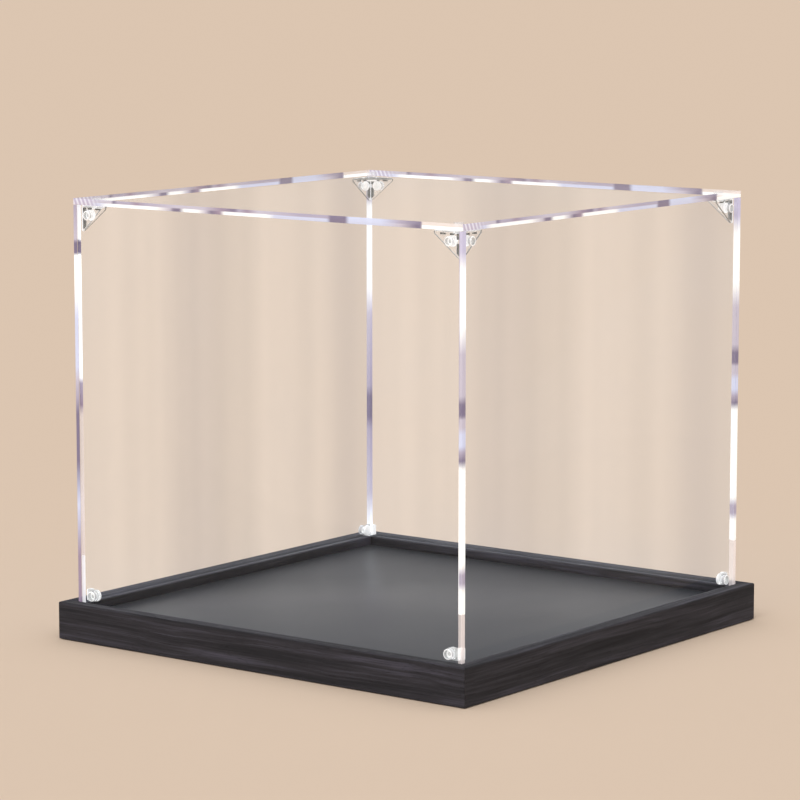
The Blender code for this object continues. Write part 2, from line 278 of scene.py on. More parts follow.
def piece(name, mesh, body, slot, materials, *nodes):
    """Put a finished mesh in the scene in place of CAD nodes."""
    for material in materials:
        mesh.materials.append(material)
    mesh.shade_smooth()
    mesh.set_sharp_from_angle(angle=math.radians(28))
    thing = bpy.data.objects.new(name, mesh)
    bpy.context.scene.collection.objects.link(thing)
    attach(thing, body)
    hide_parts(*nodes)
    return thing


def cad_mesh(node):
    """A copy of a CAD node's mesh, without its materials."""
    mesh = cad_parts[node].data.copy()
    mesh.materials.clear()
    return mesh


# Materials


class Tree:
    """Short calls for building the nodes of one material."""

    def __init__(self, name):
        self.material = bpy.data.materials.new(name)
        self.material.use_nodes = True
        self.nodes = self.material.node_tree.nodes
        self.links = self.material.node_tree.links
        self.nodes.clear()
        self.output = self.add("ShaderNodeOutputMaterial")
        self.place = self.add("ShaderNodeTexCoord").outputs["Object"]

    def add(self, kind, inputs=None, **settings):
        node = self.nodes.new(kind)
        for key, value in settings.items():
            setattr(node, key, value)
        for key, value in (inputs or {}).items():
            self.put(node.inputs[key], value)
        return node

    def put(self, socket, value):
        if isinstance(value, bpy.types.NodeSocket):
            self.links.new(value, socket)
        else:
            socket.default_value = value

    def maths(self, operation, first, second=0.0, clamp=False):
        node = self.add("ShaderNodeMath", operation=operation, use_clamp=clamp)
        self.put(node.inputs[0], first)
        self.put(node.inputs[1], second)
        return node.outputs[0]

    def mapped(self, scale=(1, 1, 1), rotation=(0, 0, 0), location=(0, 0, 0), vector=None):
        inputs = {"Vector": vector or self.place, "Scale": scale, "Rotation": rotation, "Location": location}
        return self.add("ShaderNodeMapping", inputs).outputs[0]

    def noise(self, vector, scale=1.0, detail=4.0, roughness=0.55, distortion=0.0):
        inputs = {"Vector": vector, "Scale": scale, "Detail": detail}
        inputs.update({"Roughness": roughness, "Distortion": distortion})
        return self.add("ShaderNodeTexNoise", inputs).outputs[0]

    def spread(self, value, low, high, to_low=0.0, to_high=1.0):
        """The value stretched so that low and high become the two ends."""
        inputs = {"Value": value, "From Min": low, "From Max": high, "To Min": to_low, "To Max": to_high}
        return self.add("ShaderNodeMapRange", inputs, interpolation_type="SMOOTHSTEP").outputs[0]

    def ramp(self, value, stops, interpolation="LINEAR"):
        node = self.add("ShaderNodeValToRGB", {"Fac": value})
        node.color_ramp.interpolation = interpolation
        elements = node.color_ramp.elements
        while len(elements) < len(stops):
            elements.new(0.5)
        for element, (position, colour) in zip(elements, stops):
            element.position = position
            element.color = colour
        return node

    def mix(self, factor, first, second, blend="MIX"):
        node = self.add("ShaderNodeMix", data_type="RGBA", blend_type=blend)
        self.put(node.inputs[0], factor)
        self.put(node.inputs[6], first)
        self.put(node.inputs[7], second)
        return node.outputs[2]

    def bump(self, height, distance, strength=1.0):
        inputs = {"Height": height, "Distance": distance, "Strength": strength}
        return self.add("ShaderNodeBump", inputs).outputs[0]

    def worn_edge(self, radius):
        """1 on the sharp edges of the shape and 0 on its flat faces."""
        soft = self.add("ShaderNodeBevel", {"Radius": radius}, samples=6).outputs[0]
        true = self.add("ShaderNodeNewGeometry").outputs["Normal"]
        turn = self.add("ShaderNodeVectorMath", operation="DOT_PRODUCT")
        self.put(turn.inputs[0], soft)
        self.put(turn.inputs[1], true)
        return self.spread(turn.outputs["Value"], 0.995, 0.80)

    def finish(self, shader):
        self.links.new(shader, self.output.inputs["Surface"])
        return self.material


def wood_foil(name, turn, shift):
    """Black wood-grain foil. The grain runs along X, or along Y with a turn of a quarter."""
    tree = Tree(name)
    lengthwise = tree.mapped(rotation=(0, 0, turn), location=(shift, shift / 3, shift / 7))
    sway = tree.noise(tree.mapped(scale=(9, 4, 4), vector=lengthwise), detail=2)
    sway = tree.maths("MULTIPLY", tree.maths("SUBTRACT", sway, 0.5), 0.007)
    offset = tree.add("ShaderNodeCombineXYZ", {"X": 0.0, "Y": sway, "Z": sway}).outputs[0]
    wavy = tree.add("ShaderNodeVectorMath", operation="ADD")
    tree.put(wavy.inputs[0], lengthwise)
    tree.put(wavy.inputs[1], offset)
    wavy = wavy.outputs[0]
    bands = tree.noise(tree.mapped(scale=(5, 150, 150), vector=wavy), detail=3)
    lines = tree.noise(tree.mapped(scale=(9, 520, 520), vector=wavy), detail=4, roughness=0.6)
    fibres = tree.noise(tree.mapped(scale=(60, 2600, 2600), vector=wavy), detail=3, roughness=0.7)
    pores = tree.noise(tree.mapped(scale=(130, 3200, 3200), vector=wavy), detail=1)
    pores = tree.spread(pores, 0.66, 0.74)
    tone = tree.maths("ADD", tree.maths("MULTIPLY", bands, 0.45), tree.maths("MULTIPLY", lines, 0.45))
    tone = tree.maths("ADD", tone, tree.maths("MULTIPLY", fibres, 0.12))
    colour = tree.ramp(tone, (
        (0.32, srgb("1c1c20")),
        (0.45, srgb("27272c")),
        (0.54, srgb("343339")),
        (0.63, srgb("464550")),
        (0.76, srgb("5d5b6b")),
    )).outputs[0]
    colour = tree.mix(tree.maths("MULTIPLY", pores, 0.6), colour, srgb("161517"))
    worn = tree.maths("MULTIPLY", tree.worn_edge(0.0006), tree.spread(lines, 0.35, 0.7))
    colour = tree.mix(tree.maths("MULTIPLY", worn, 0.5), colour, srgb("6b696c"))
    rough = tree.spread(tone, 0.3, 0.75, 0.74, 0.60)
    rough = tree.maths("ADD", rough, tree.maths("MULTIPLY", pores, 0.2))
    height = tree.maths("SUBTRACT", tree.maths("MULTIPLY", tone, 1.0), tree.maths("MULTIPLY", pores, 0.5))
    shader = tree.add("ShaderNodeBsdfPrincipled", {
        "Base Color": colour,
        "Roughness": rough,
        "Normal": tree.bump(height, 0.00035, 0.55),
    })
    shader.inputs["IOR"].default_value = 1.3
    return tree.finish(shader.outputs[0])


def laminate():
    """Smooth dark grey laminate with a soft gloss."""
    tree = Tree("grey_laminate")
    cloud = tree.noise(tree.place, scale=7.0, detail=3)
    speckle = tree.noise(tree.place, scale=1400.0, detail=2, roughness=0.7)
    smear = tree.noise(tree.place, scale=9.0, detail=3)
    colour = tree.ramp(cloud, ((0.3, srgb("37393d")), (0.7, srgb("3d3f43")))).outputs[0]
    colour = tree.mix(tree.spread(speckle, 0.62, 0.8, 0.0, 0.12), colour, srgb("6a6a6b"))
    colour = tree.mix(tree.maths("MULTIPLY", tree.worn_edge(0.0005), 0.3), colour, srgb("67676a"))
    rough = tree.spread(smear, 0.3, 0.75, 0.32, 0.36)
    shader = tree.add("ShaderNodeBsdfPrincipled", {
        "Base Color": colour,
        "Roughness": rough,
        "Normal": tree.bump(speckle, 0.00001, 0.4),
    })
    shader.inputs["IOR"].default_value = 1.38
    return tree.finish(shader.outputs[0])


def raw_wood(name, turn):
    """Planed pale wood, for the glue blocks under the floor."""
    tree = Tree(name)
    along = tree.mapped(scale=(30, 420, 420), rotation=(0, 0, turn))
    grain = tree.noise(along, detail=5, roughness=0.65, distortion=0.3)
    rings = tree.noise(tree.mapped(scale=(12, 90, 90), rotation=(0, 0, turn)), detail=2)
    tone = tree.maths("ADD", tree.maths("MULTIPLY", grain, 0.5), tree.maths("MULTIPLY", rings, 0.5))
    colour = tree.ramp(tone, (
        (0.3, srgb("a9834f")),
        (0.5, srgb("c9a46e")),
        (0.72, srgb("dcbd8b")),
    )).outputs[0]
    worn = tree.maths("MULTIPLY", tree.worn_edge(0.0008), 0.35)
    colour = tree.mix(worn, colour, srgb("8d6b3f"))
    shader = tree.add("ShaderNodeBsdfPrincipled", {
        "Base Color": colour,
        "Roughness": tree.spread(grain, 0.3, 0.7, 0.72, 0.88),
        "Normal": tree.bump(grain, 0.0002, 0.6),
    })
    return tree.finish(shader.outputs[0])


def foam_rubber():
    """Matte dark foam rubber with fine open cells."""
    tree = Tree("foam_rubber")
    cells = tree.add("ShaderNodeTexVoronoi", {"Vector": tree.place, "Scale": 1500.0}).outputs["Distance"]
    blotch = tree.noise(tree.place, scale=120.0)
    colour = tree.ramp(blotch, ((0.3, srgb("1d1d1e")), (0.7, srgb("2b2b2c")))).outputs[0]
    worn = tree.maths("MULTIPLY", tree.worn_edge(0.0006), 0.4)
    colour = tree.mix(worn, colour, srgb("4a4a4a"))
    shader = tree.add("ShaderNodeBsdfPrincipled", {
        "Base Color": colour,
        "Roughness": tree.spread(blotch, 0.3, 0.7, 0.86, 0.96),
        "Normal": tree.bump(cells, 0.0002, 0.7),
    })
    return tree.finish(shader.outputs[0])


def sheet_gloss(tree, mirror_gain, rough_low, rough_high):
    """The mirror share of a clear sheet's outer side, and its gloss with faint wipe marks."""
    wipes = tree.noise(tree.mapped(scale=(9, 9, 3)), detail=5, distortion=0.8)
    waves = tree.noise(tree.place, scale=12.0, detail=1)
    normal = tree.bump(waves, 0.0002, 0.15)
    fresnel = tree.add("ShaderNodeFresnel", {"IOR": ACRYLIC_IOR, "Normal": normal}).outputs[0]
    behind = tree.add("ShaderNodeNewGeometry").outputs["Backfacing"]
    facing = tree.maths("SUBTRACT", 1.0, behind)
    mirror = tree.maths("MULTIPLY", tree.maths("MULTIPLY", fresnel, facing), mirror_gain, clamp=True)
    rough = tree.spread(wipes, 0.35, 0.8, rough_low, rough_high)
    gloss = tree.add("ShaderNodeBsdfGlossy", {"Color": (1, 1, 1, 1), "Roughness": rough, "Normal": normal})
    return mirror, gloss.outputs[0]


def mixed(tree, factor, first, second):
    node = tree.add("ShaderNodeMixShader")
    tree.put(node.inputs[0], factor)
    tree.links.new(first, node.inputs[1])
    tree.links.new(second, node.inputs[2])
    return node.outputs[0]


def clear_acrylic(name, haze, axis=None):
    """The large faces of a sheet. With an axis, soft grey upright streaks lie along it: painted reflections
    that darken what is seen through the sheet.
    """
    tree = Tree(name)
    tint = (1, 1, 1, 1)
    if axis is not None:
        along = tree.add("ShaderNodeSeparateXYZ", {"Vector": tree.place}).outputs[axis]
        share = tree.maths("ADD", tree.maths("DIVIDE", along, 2 * HALF_COVER), 0.5)
        # Painted reflection: broad soft grey upright streaks across the sheet
        broad = tree.ramp(share, (
            (0.22, srgb("ffffff")),
            (0.38, srgb("f7f7f8")),
            (0.52, srgb("fafafa")),
            (0.64, srgb("ffffff")),
            (0.82, srgb("fdfdfd")),
            (0.91, srgb("f6f6f7")),
            (1.0, srgb("f9f9f9")),
        ), "EASE").outputs[0]
        painted_reflection_ripples = tree.noise(tree.add("ShaderNodeCombineXYZ", {"X": share}).outputs[0], scale=14.0, detail=1)
        painted_reflection_ripples = tree.ramp(painted_reflection_ripples, ((0.3, srgb("fbfbfb")), (0.7, srgb("ffffff")))).outputs[0]
        tint = tree.mix(1.0, tree.mix(1.0, broad, painted_reflection_ripples, "MULTIPLY"), BACK_BRIGHTENING_TINT, "MULTIPLY")
    see = tree.add("ShaderNodeBsdfTransparent", {"Color": tint}).outputs[0]
    mirror, gloss = sheet_gloss(tree, MIRROR_SHARE, 0.012, 0.05)
    shader = mixed(tree, mirror, see, gloss)
    dust = tree.noise(tree.place, scale=2600.0, detail=1)
    film = tree.noise(tree.place, scale=16.0, detail=4)
    smears = tree.spread(film, 0.3, 0.8, haze * 0.7, haze * 1.3)
    veil = tree.maths("ADD", smears, tree.spread(dust, 0.76, 0.84, 0.0, 0.02))
    white = tree.add("ShaderNodeBsdfDiffuse", {"Color": srgb("f4f4f6")}).outputs[0]
    return tree.finish(mixed(tree, veil, shader, white))


EDGE_PLACE = "edge_place"


def glowing(tree, colour, opacity, glow, rough, normal):
    """A glossy plastic that gives off a little light, and is clear where its opacity is low."""
    solid = tree.add("ShaderNodeBsdfPrincipled", {
        "Base Color": colour,
        "Emission Color": colour,
        "Roughness": rough,
        "Normal": normal,
    })
    solid.inputs["Emission Strength"].default_value = glow
    solid.inputs["IOR"].default_value = ACRYLIC_IOR
    see = tree.add("ShaderNodeBsdfTransparent", {"Color": CLEAR_TINT}).outputs[0]
    return tree.finish(mixed(tree, opacity, see, solid.outputs[0]))


def edge_shader(tree, colour, opacity, glow):
    """A polished edge: it gathers light from the whole sheet, so it looks brighter than the faces; this glow
    is painted light.
    """
    rough = tree.spread(tree.noise(tree.place, scale=300.0), 0.3, 0.7, 0.08, 0.2)
    normal = tree.bump(tree.noise(tree.place, scale=500.0, detail=2), 0.00005, 0.5)
    return glowing(tree, colour, opacity, glow, rough, normal)


def edge_material(name, near_stops, far_stops, hatch_end=0.0, glow=0.42):
    """An edge with one run of painted light and shade tones on each side of its middle, and painted slanting
    light and dark stripes near its start.
    """
    tree = Tree(name)
    place = tree.add("ShaderNodeAttribute", attribute_name=EDGE_PLACE).outputs["Vector"]
    split = tree.add("ShaderNodeSeparateXYZ", {"Vector": place})
    along, across = split.outputs[0], split.outputs[1]
    wobble = tree.maths("MULTIPLY", tree.maths("SUBTRACT", tree.noise(tree.place, scale=60.0), 0.5), 0.012)
    shifted = tree.maths("ADD", along, wobble)
    near = tree.ramp(shifted, near_stops)
    far = tree.ramp(shifted, far_stops)
    middle = tree.maths("ADD", 0.5, tree.maths("MULTIPLY", wobble, 6.0))
    share = tree.spread(tree.maths("SUBTRACT", across, middle), -0.10, 0.10)
    colour = tree.mix(share, near.outputs[0], far.outputs[0])
    opacity = tree.maths("ADD", tree.maths("MULTIPLY", near.outputs[1], tree.maths("SUBTRACT", 1.0, share)),
                         tree.maths("MULTIPLY", far.outputs[1], share))
    # Painted slanting stripes of light and shade near the start of the edge
    if hatch_end:
        slant = tree.maths("ADD", tree.maths("MULTIPLY", along, HATCH_RATE),
                           tree.maths("MULTIPLY", across, HATCH_SLANT))
        stripe = tree.spread(tree.maths("SINE", slant), -0.5, 0.7)
        hatch_stripes = tree.mix(stripe, srgb("b6aec4"), srgb("d6d5e2"))
        inside = tree.spread(along, hatch_end, hatch_end * 0.35)
        colour = tree.mix(inside, colour, hatch_stripes)
    return edge_shader(tree, colour, opacity, glow)


def plain_edge():
    """The level edges of the walls and the rims of the pin holes: clear with a painted pale gleam."""
    tree = Tree("acrylic_plain_edge")
    tone = tree.noise(tree.mapped(scale=(40, 40, 40)), detail=2)
    colour = tree.ramp(tone, ((0.35, srgb("d9d6e6")), (0.65, srgb("fbfdff")))).outputs[0]
    return edge_shader(tree, colour, 0.14, 0.05)


def moulded(name, dark, light, opacity, rough, glow=0.0):
    """Clear moulded plastic of one depth of tone, with flow marks and a glossy skin."""
    tree = Tree(name)
    flow = tree.noise(tree.mapped(scale=(220, 220, 220)), detail=3, distortion=1.2)
    colour = tree.ramp(flow, ((0.3, srgb(dark)), (0.7, srgb(light)))).outputs[0]
    share = tree.spread(flow, 0.3, 0.7, max(opacity - 0.06, 0.0), min(opacity + 0.06, 1.0))
    skin = tree.spread(flow, 0.3, 0.7, rough, rough + 0.12)
    return glowing(tree, colour, share, glow, skin, tree.bump(flow, 0.00008, 0.5))


def clear_web():
    """The webs of the corner pieces: nearly clear, but with a painted highlight along the two sheets they lie
    on, and a little painted glow.
    """
    tree = Tree("plastic_web")
    split = tree.add("ShaderNodeSeparateXYZ", {"Vector": tree.place}).outputs
    aside = tree.maths("SUBTRACT", HALF_COVER, tree.maths("ABSOLUTE", split[0]))
    back = tree.maths("SUBTRACT", HALF_COVER, tree.maths("ABSOLUTE", split[1]))
    down = tree.maths("SUBTRACT", TOTAL_HEIGHT, split[2])
    nearer = tree.maths("MINIMUM", aside, back)
    further = tree.maths("MAXIMUM", aside, back)
    middle = tree.maths("MAXIMUM", nearer, tree.maths("MINIMUM", further, down))
    total = tree.maths("ADD", tree.maths("ADD", aside, back), down)
    hatch_stripes = tree.spread(tree.maths("SINE", tree.maths("MULTIPLY", total, 7000.0)), 0.2, 0.9)
    # Painted highlight along the two sheets the web lies on
    highlight_strip = tree.spread(middle, 0.0054, 0.0046)
    flow = tree.noise(tree.mapped(scale=(220, 220, 220)), detail=3, distortion=1.2)
    colour = tree.ramp(flow, ((0.3, srgb("e4e7e8")), (0.7, srgb("ffffff")))).outputs[0]
    opacity = tree.maths("ADD", tree.maths("MULTIPLY", highlight_strip, 0.55), tree.maths("MULTIPLY", hatch_stripes, 0.05))
    opacity = tree.maths("ADD", opacity, tree.spread(flow, 0.3, 0.7, 0.04, 0.10), clamp=True)
    rough = tree.spread(flow, 0.3, 0.7, 0.08, 0.2)
    return glowing(tree, colour, opacity, 0.4, rough, tree.bump(flow, 0.00008, 0.5))


# Tones along the edges: bands of painted reflection and refraction, light and dark. Positions are shares of
# the edge's length.
TOP_EDGE_LOWER = (
    (0.00, LILAC), (0.07, PALE_BLUE), (0.10, WHITE), (0.22, WHITE), (0.265, LILAC), (0.275, SHADE),
    (0.29, SHADE), (0.305, WHITE), (0.335, WHITE), (0.36, LILAC), (0.375, SHADE), (0.398, MAUVE),
    (0.41, WHITE),
    (0.515, WHITE), (0.54, PALE_BLUE), (0.67, PALE_BLUE), (0.68, SHADE), (0.715, SHADE),
    (0.725, PALE_BLUE), (0.80, PALE_BLUE), (0.85, LILAC), (0.89, SHADE), (0.902, SHADE),
    (0.905, WHITE), (1.0, WHITE),
)
TOP_EDGE_UPPER = (
    (0.00, LILAC), (0.105, LILAC), (0.112, SHADE), (0.125, LAVENDER), (0.155, LAVENDER), (0.175, MAUVE),
    (0.20, LAVENDER), (0.28, LILAC), (0.35, LILAC), (0.40, MAUVE), (0.435, SHADE), (0.447, LAVENDER),
    (0.467, MAUVE), (0.50, LILAC), (0.60, LAVENDER), (0.672, LAVENDER), (0.68, SHADE), (0.715, SHADE),
    (0.725, PALE_BLUE), (0.80, PALE_BLUE), (0.85, LAVENDER), (0.902, SHADE), (0.905, PINK_CLEAR),
    (1.0, PINK_CLEAR),
)
UPRIGHT_BRIGHT = (
    (0.0, PINK_CLEAR), (0.118, PINK_CLEAR), (0.12, WHITE), (0.17, WHITE), (0.19, LAVENDER),
    (0.21, LAVENDER), (0.235, WHITE), (0.455, WHITE), (0.475, SHADE), (0.495, LAVENDER),
    (0.51, PALE_BLUE), (0.535, PALE_BLUE), (0.55, LILAC), (0.57, LILAC), (0.58, SHADE), (0.605, SHADE),
    (0.625, LILAC), (0.72, LILAC), (0.79, WHITE), (0.905, WHITE), (0.955, PERIWINKLE), (1.0, PERIWINKLE),
)
UPRIGHT_SOFT = (
    (0.0, PINK_CLEAR), (0.118, PINK_CLEAR), (0.12, WHITE), (0.455, WHITE), (0.475, SHADE),
    (0.495, LAVENDER), (0.51, PALE_BLUE), (0.55, LILAC), (0.58, SHADE), (0.605, SHADE), (0.63, LAVENDER),
    (1.0, LAVENDER),
)
LEFT_OUTER = (
    (0.0, MAUVE), (0.12, MAUVE), (0.16, LAVENDER), (0.25, PALE_BLUE), (0.36, SHADE), (0.48, SHADE),
    (0.52, LAVENDER), (0.565, LILAC), (0.60, PALE_BLUE), (0.72, PALE_BLUE), (0.80, WHITE),
    (0.875, WHITE), (0.882, SHADE), (0.908, SHADE), (0.915, LILAC), (1.0, LAVENDER),
)
LEFT_INNER = (
    (0.0, WHITE), (0.118, WHITE), (0.122, PINK_CLEAR), (0.47, PINK_CLEAR), (0.50, MAUVE),
    (0.555, LAVENDER), (0.57, WHITE), (0.875, WHITE), (0.882, SHADE), (0.908, SHADE), (0.915, WHITE),
    (1.0, WHITE),
)
BACK_UPRIGHT = (
    (0.0, WHITE), (0.12, LILAC), (0.30, LAVENDER), (0.335, SHADE), (0.39, SHADE), (0.42, LAVENDER),
    (0.62, LILAC), (0.70, FAINT_WHITE), (0.92, FAINT_WHITE), (0.94, LAVENDER), (1.0, LAVENDER),
)


# Base


def make_rails():
    for index, side in enumerate(SIDES):
        node = f"rail_{side}"
        turn = math.pi / 2 if side in ("left", "right") else 0.0
        mesh = rounded(cad_mesh(node), RAIL_ARRIS)
        foil = wood_foil(f"wood_foil_{side}", turn, 1.3 * index + 0.4)
        piece(f"{node}_foiled", mesh, "base", "black_wood", [foil], node)


def make_floor():
    mesh = rounded(cad_mesh("floor_panel"), RAIL_ARRIS)
    piece("floor_panel_laminated", mesh, "base", "grey_board", [laminate()], "floor_panel")


def make_glue_blocks():
    for index, corner in enumerate(CORNERS):
        node = f"glue_block_{corner}"
        mesh = rounded(cad_mesh(node), BLOCK_ARRIS, 3)
        wood = raw_wood(f"raw_wood_{corner}", math.pi / 4 + index * math.pi / 2)
        piece(f"{node}_planed", mesh, "base", "raw_wood", [wood], node)


def make_foot_pads():
    foam = foam_rubber()
    edge = PAD_ARRIS
    for corner in CORNERS:
        node = f"foot_pad_{corner}"
        low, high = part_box(node)
        radius, height = (high.x - low.x) / 2, high.z - low.z
        upper = arc((radius - edge, height - edge), edge, 90, 0, 5)
        lower = arc((radius - edge, edge), edge, 0, -90, 5)
        profile = [(0, height), *upper, *lower, (0, 0)]
        mesh = turned(node, profile)
        mesh.transform(Matrix.Translation(((low.x + high.x) / 2, (low.y + high.y) / 2, low.z)))
        piece(f"{node}_foam", mesh, "base", "dark_rubber", [foam], node)


# Cover sheets


def sheet_mesh(node, across, up, holes):
    """A sheet in the place of a CAD node. Across and up are its two long axes."""
    low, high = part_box(node)
    outline = rectangle(low[across], high[across], low[up], high[up])
    thin = 3 - across - up
    mesh = plate(node, [outline] + [circle(*hole) for hole in holes], high[thin] - low[thin])
    axes = [Vector((0, 0, 0)) for _ in range(3)]
    axes[0][across] = 1
    axes[1][up] = 1
    axes[2] = axes[0].cross(axes[1])
    turn = Matrix.Identity(4)
    for column, axis in enumerate(axes):
        for row in range(3):
            turn[row][column] = axis[row]
    middle = Vector((0, 0, 0))
    middle[thin] = (low[thin] + high[thin]) / 2
    mesh.transform(Matrix.Translation(middle) @ turn)
    return rounded(mesh, SHEET_ARRIS)


def mark_edges(mesh, choose):
    """Give each face its material, and each edge face its place along and across the edge.

    choose takes a face's middle and normal and returns a material number and two functions of
    a point, or None for a face that needs no place.
    """
    layer = mesh.attributes.new(EDGE_PLACE, "FLOAT_VECTOR", "CORNER")
    for face in mesh.polygons:
        number, along, across = choose(face.center, face.normal)
        face.material_index = number
        if along is None:
            continue
        for corner in face.loop_indices:
            point = mesh.vertices[mesh.loops[corner].vertex_index].co
            layer.data[corner].vector = (along(point), across(point), 0)


def share_along(axis, low, high):
    """How far a point lies from low to high along an axis."""
    return lambda point: (point[axis] - low[axis]) / (high[axis] - low[axis])


def cut_across(mesh, place):
    """Cut the faces of a sheet along an upright line, without opening it."""
    shape = bmesh.new()
    shape.from_mesh(mesh)
    parts = shape.verts[:] + shape.edges[:] + shape.faces[:]
    bmesh.ops.bisect_plane(shape, geom=parts, plane_co=(place, 0, 0), plane_no=(1, 0, 0))
    shape.to_mesh(mesh)
    shape.free()


def make_wall(side, materials):
    """A wall sheet. The materials are the face, the plain edge, the two upright ends and the band."""
    node = f"wall_{side}"
    low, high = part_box(node)
    across = 0 if side in ("front", "back") else 1
    thin = 1 - across
    pin = HALF_COVER - TOP_PIN
    clip = HALF_COVER - CLIP_PIN
    holes = [((place, TOTAL_HEIGHT - TOP_PIN), PIN_RADIUS + GAP) for place in (-pin, pin)]
    clip_ends = {"front": (-1, 1), "right": (1,), "back": (), "left": (1,)}[side]
    holes += [((end * clip, CLIP_Z), CLIP_PIN_RADIUS + GAP) for end in clip_ends]
    mesh = sheet_mesh(node, across, 2, holes)
    upright = share_along(2, low, high)
    through = share_along(thin, low, high)
    # Near each corner a band of the outer face takes the painted light and shade tones of the upright edge
    band = high[across] - CORNER_BAND
    if across == 0:
        cut_across(mesh, -band)
        cut_across(mesh, band)

    def from_corner(point):
        return 1 - 0.6 * (high[across] - abs(point[across])) / CORNER_BAND

    def choose(middle, normal):
        if abs(normal[thin]) > 0.9:
            if across == 0 and middle.y * normal.y > 0 and abs(middle.x) > band:
                return (4 if middle.x > 0 else 2), upright, from_corner
            return 0, None, None
        if middle[across] > high[across] - END_NEAR:
            return 3, upright, through
        if middle[across] < low[across] + END_NEAR:
            return 2, upright, through
        return 1, None, None

    mark_edges(mesh, choose)
    piece(f"{node}_clear", mesh, "cover", "clear_acrylic", materials, node)


def make_top(materials):
    """The top sheet, with bands of tone round its edge."""
    low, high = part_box("top_panel")
    pin = HALF_COVER - TOP_PIN
    holes = [((x, y), PIN_RADIUS + GAP) for x in (-pin, pin) for y in (-pin, pin)]
    mesh = sheet_mesh("top_panel", 0, 1, holes)
    upright = share_along(2, low, high)

    def choose(middle, normal):
        if abs(normal.z) > 0.9:
            return 0, None, None
        if abs(middle.y) > high.y - END_NEAR:
            return 2, share_along(0, low, high), upright
        if abs(middle.x) > high.x - END_NEAR:
            return 2, share_along(1, low, high), upright
        return 1, None, None

    mark_edges(mesh, choose)
    piece("top_panel_clear", mesh, "cover", "clear_acrylic", materials, "top_panel")


def make_sheets():
    # Edge materials with bands of painted reflection and refraction, and a little painted glow
    plain = plain_edge()
    bright = edge_material("acrylic_end_bright", UPRIGHT_BRIGHT, UPRIGHT_BRIGHT)
    soft = edge_material("acrylic_end_soft", UPRIGHT_SOFT, UPRIGHT_BRIGHT)
    outer = edge_material("acrylic_end_left", LEFT_OUTER, LEFT_OUTER)
    inner = edge_material("acrylic_end_left_inner", LEFT_INNER, LEFT_INNER)
    back = edge_material("acrylic_end_back", BACK_UPRIGHT, BACK_UPRIGHT)
    band = edge_material("acrylic_corner_band", UPRIGHT_SOFT, UPRIGHT_BRIGHT)
    near = clear_acrylic("acrylic_near", NEAR_HAZE)
    make_wall("front", [near, plain, outer, bright, band])
    make_wall("right", [near, plain, soft, bright])
    make_wall("back", [clear_acrylic("acrylic_back", BACK_HAZE, 0), plain, back, bright, band])
    make_wall("left", [clear_acrylic("acrylic_left", BACK_HAZE, 1), plain, inner, back])
    rim = edge_material("acrylic_top_edge", TOP_EDGE_LOWER, TOP_EDGE_UPPER, hatch_end=HATCH_END)
    make_top([clear_acrylic("acrylic_top", NEAR_HAZE), plain, rim])


# Moulded corner pieces. A face is one of these: clear sheet, bright rim of painted highlight, dark slots and
# edges of painted shade, soft grey that is painted shade inside the pin cups.
CLEAR, PAINTED_HIGHLIGHT, PAINTED_SHADE, SOFT = 0, 1, 2, 3


def pin_mesh(name, radius, sheet, backing):
    """A hollow pin and its boss. Local Z runs inward from the sheet's outer face."""
    cup_radius = radius - CUP_WALL
    boss_radius = radius + BOSS_MARGIN
    shank_end = sheet + GAP + backing / 2
    boss_end = sheet + GAP + backing + BOSS_HEIGHT
    return turned(name, [
        (0, PIN_RECESS + POST_DROP),
        (POST_RADIUS, PIN_RECESS + POST_DROP),
        (POST_RADIUS, PIN_RECESS + CUP_DEPTH),
        (cup_radius, PIN_RECESS + CUP_DEPTH),
        (cup_radius, PIN_RECESS),
        (radius - PIN_CHAMFER, PIN_RECESS),
        (radius, PIN_RECESS + PIN_CHAMFER),
        (radius, shank_end),
        (boss_radius, shank_end),
        (boss_radius, boss_end - PIN_CHAMFER),
        (boss_radius - PIN_CHAMFER, boss_end),
        (0, boss_end),
    ], 40)


def web_slots(x_face, y_face):
    """The outlines of the four slots in a web."""
    x_slot = x_face + WEB + SLOT_CLEAR
    y_slot = y_face + WEB + SLOT_CLEAR
    x_end = x_slot + UPRIGHT_SLOT_WIDTH
    short_slot = rectangle(x_slot, x_end, y_slot, SHORT_SLOT_END)
    long_slot = [(x_slot, LONG_SLOT[0]), (x_end, LONG_SLOT[0]), (x_end, LONG_SLOT[1] - LONG_SLOT_TAPER)]
    long_slot += [(x_end - LONG_SLOT_TAPER, LONG_SLOT[1]), (x_slot, LONG_SLOT[1])]
    pin_slot = rectangle(*PIN_SLOT, y_slot, y_slot + PIN_SLOT_WIDTH)
    tip_slot = rectangle(*TIP_SLOT, y_slot, y_slot + TIP_SLOT_WIDTH)
    return [short_slot, long_slot, pin_slot, tip_slot]


def web_outlines(x_face, y_face, reach, drop):
    """A triangular web with its slots."""
    x_start = x_face + WEB / 2
    y_start = y_face + WEB / 2
    outline = [(x_start, y_start), (reach, y_start), (reach, y_start + WEB_TIP)]
    outline += [(x_start + WEB_TIP, drop), (x_start, drop)]
    return [outline] + web_slots(x_face, y_face)


def pin_part(radius, radial, depth, web_end):
    """Which part of a pin a face is, from its distance to the axis and its depth, or None."""
    if radial > radius + BOSS_MARGIN + NEAR:
        return None
    if depth > web_end - WEB / 2:
        return PAINTED_HIGHLIGHT if depth > web_end + NEAR else None
    if depth < PIN_RECESS + 0.0004 or abs(depth - PIN_RECESS - CUP_DEPTH) < NEAR:
        return PAINTED_HIGHLIGHT
    # Inside the cup the soft grey is painted shade
    return SOFT if radial < radius - CUP_WALL + NEAR else CLEAR


def on_web_face(through, facing, end):
    """Whether a face lies in one of the two large flat sides of a web that ends at this depth."""
    return abs(facing) > 0.9 and min(abs(through - end), abs(through - end + WEB)) < FACE_NEAR


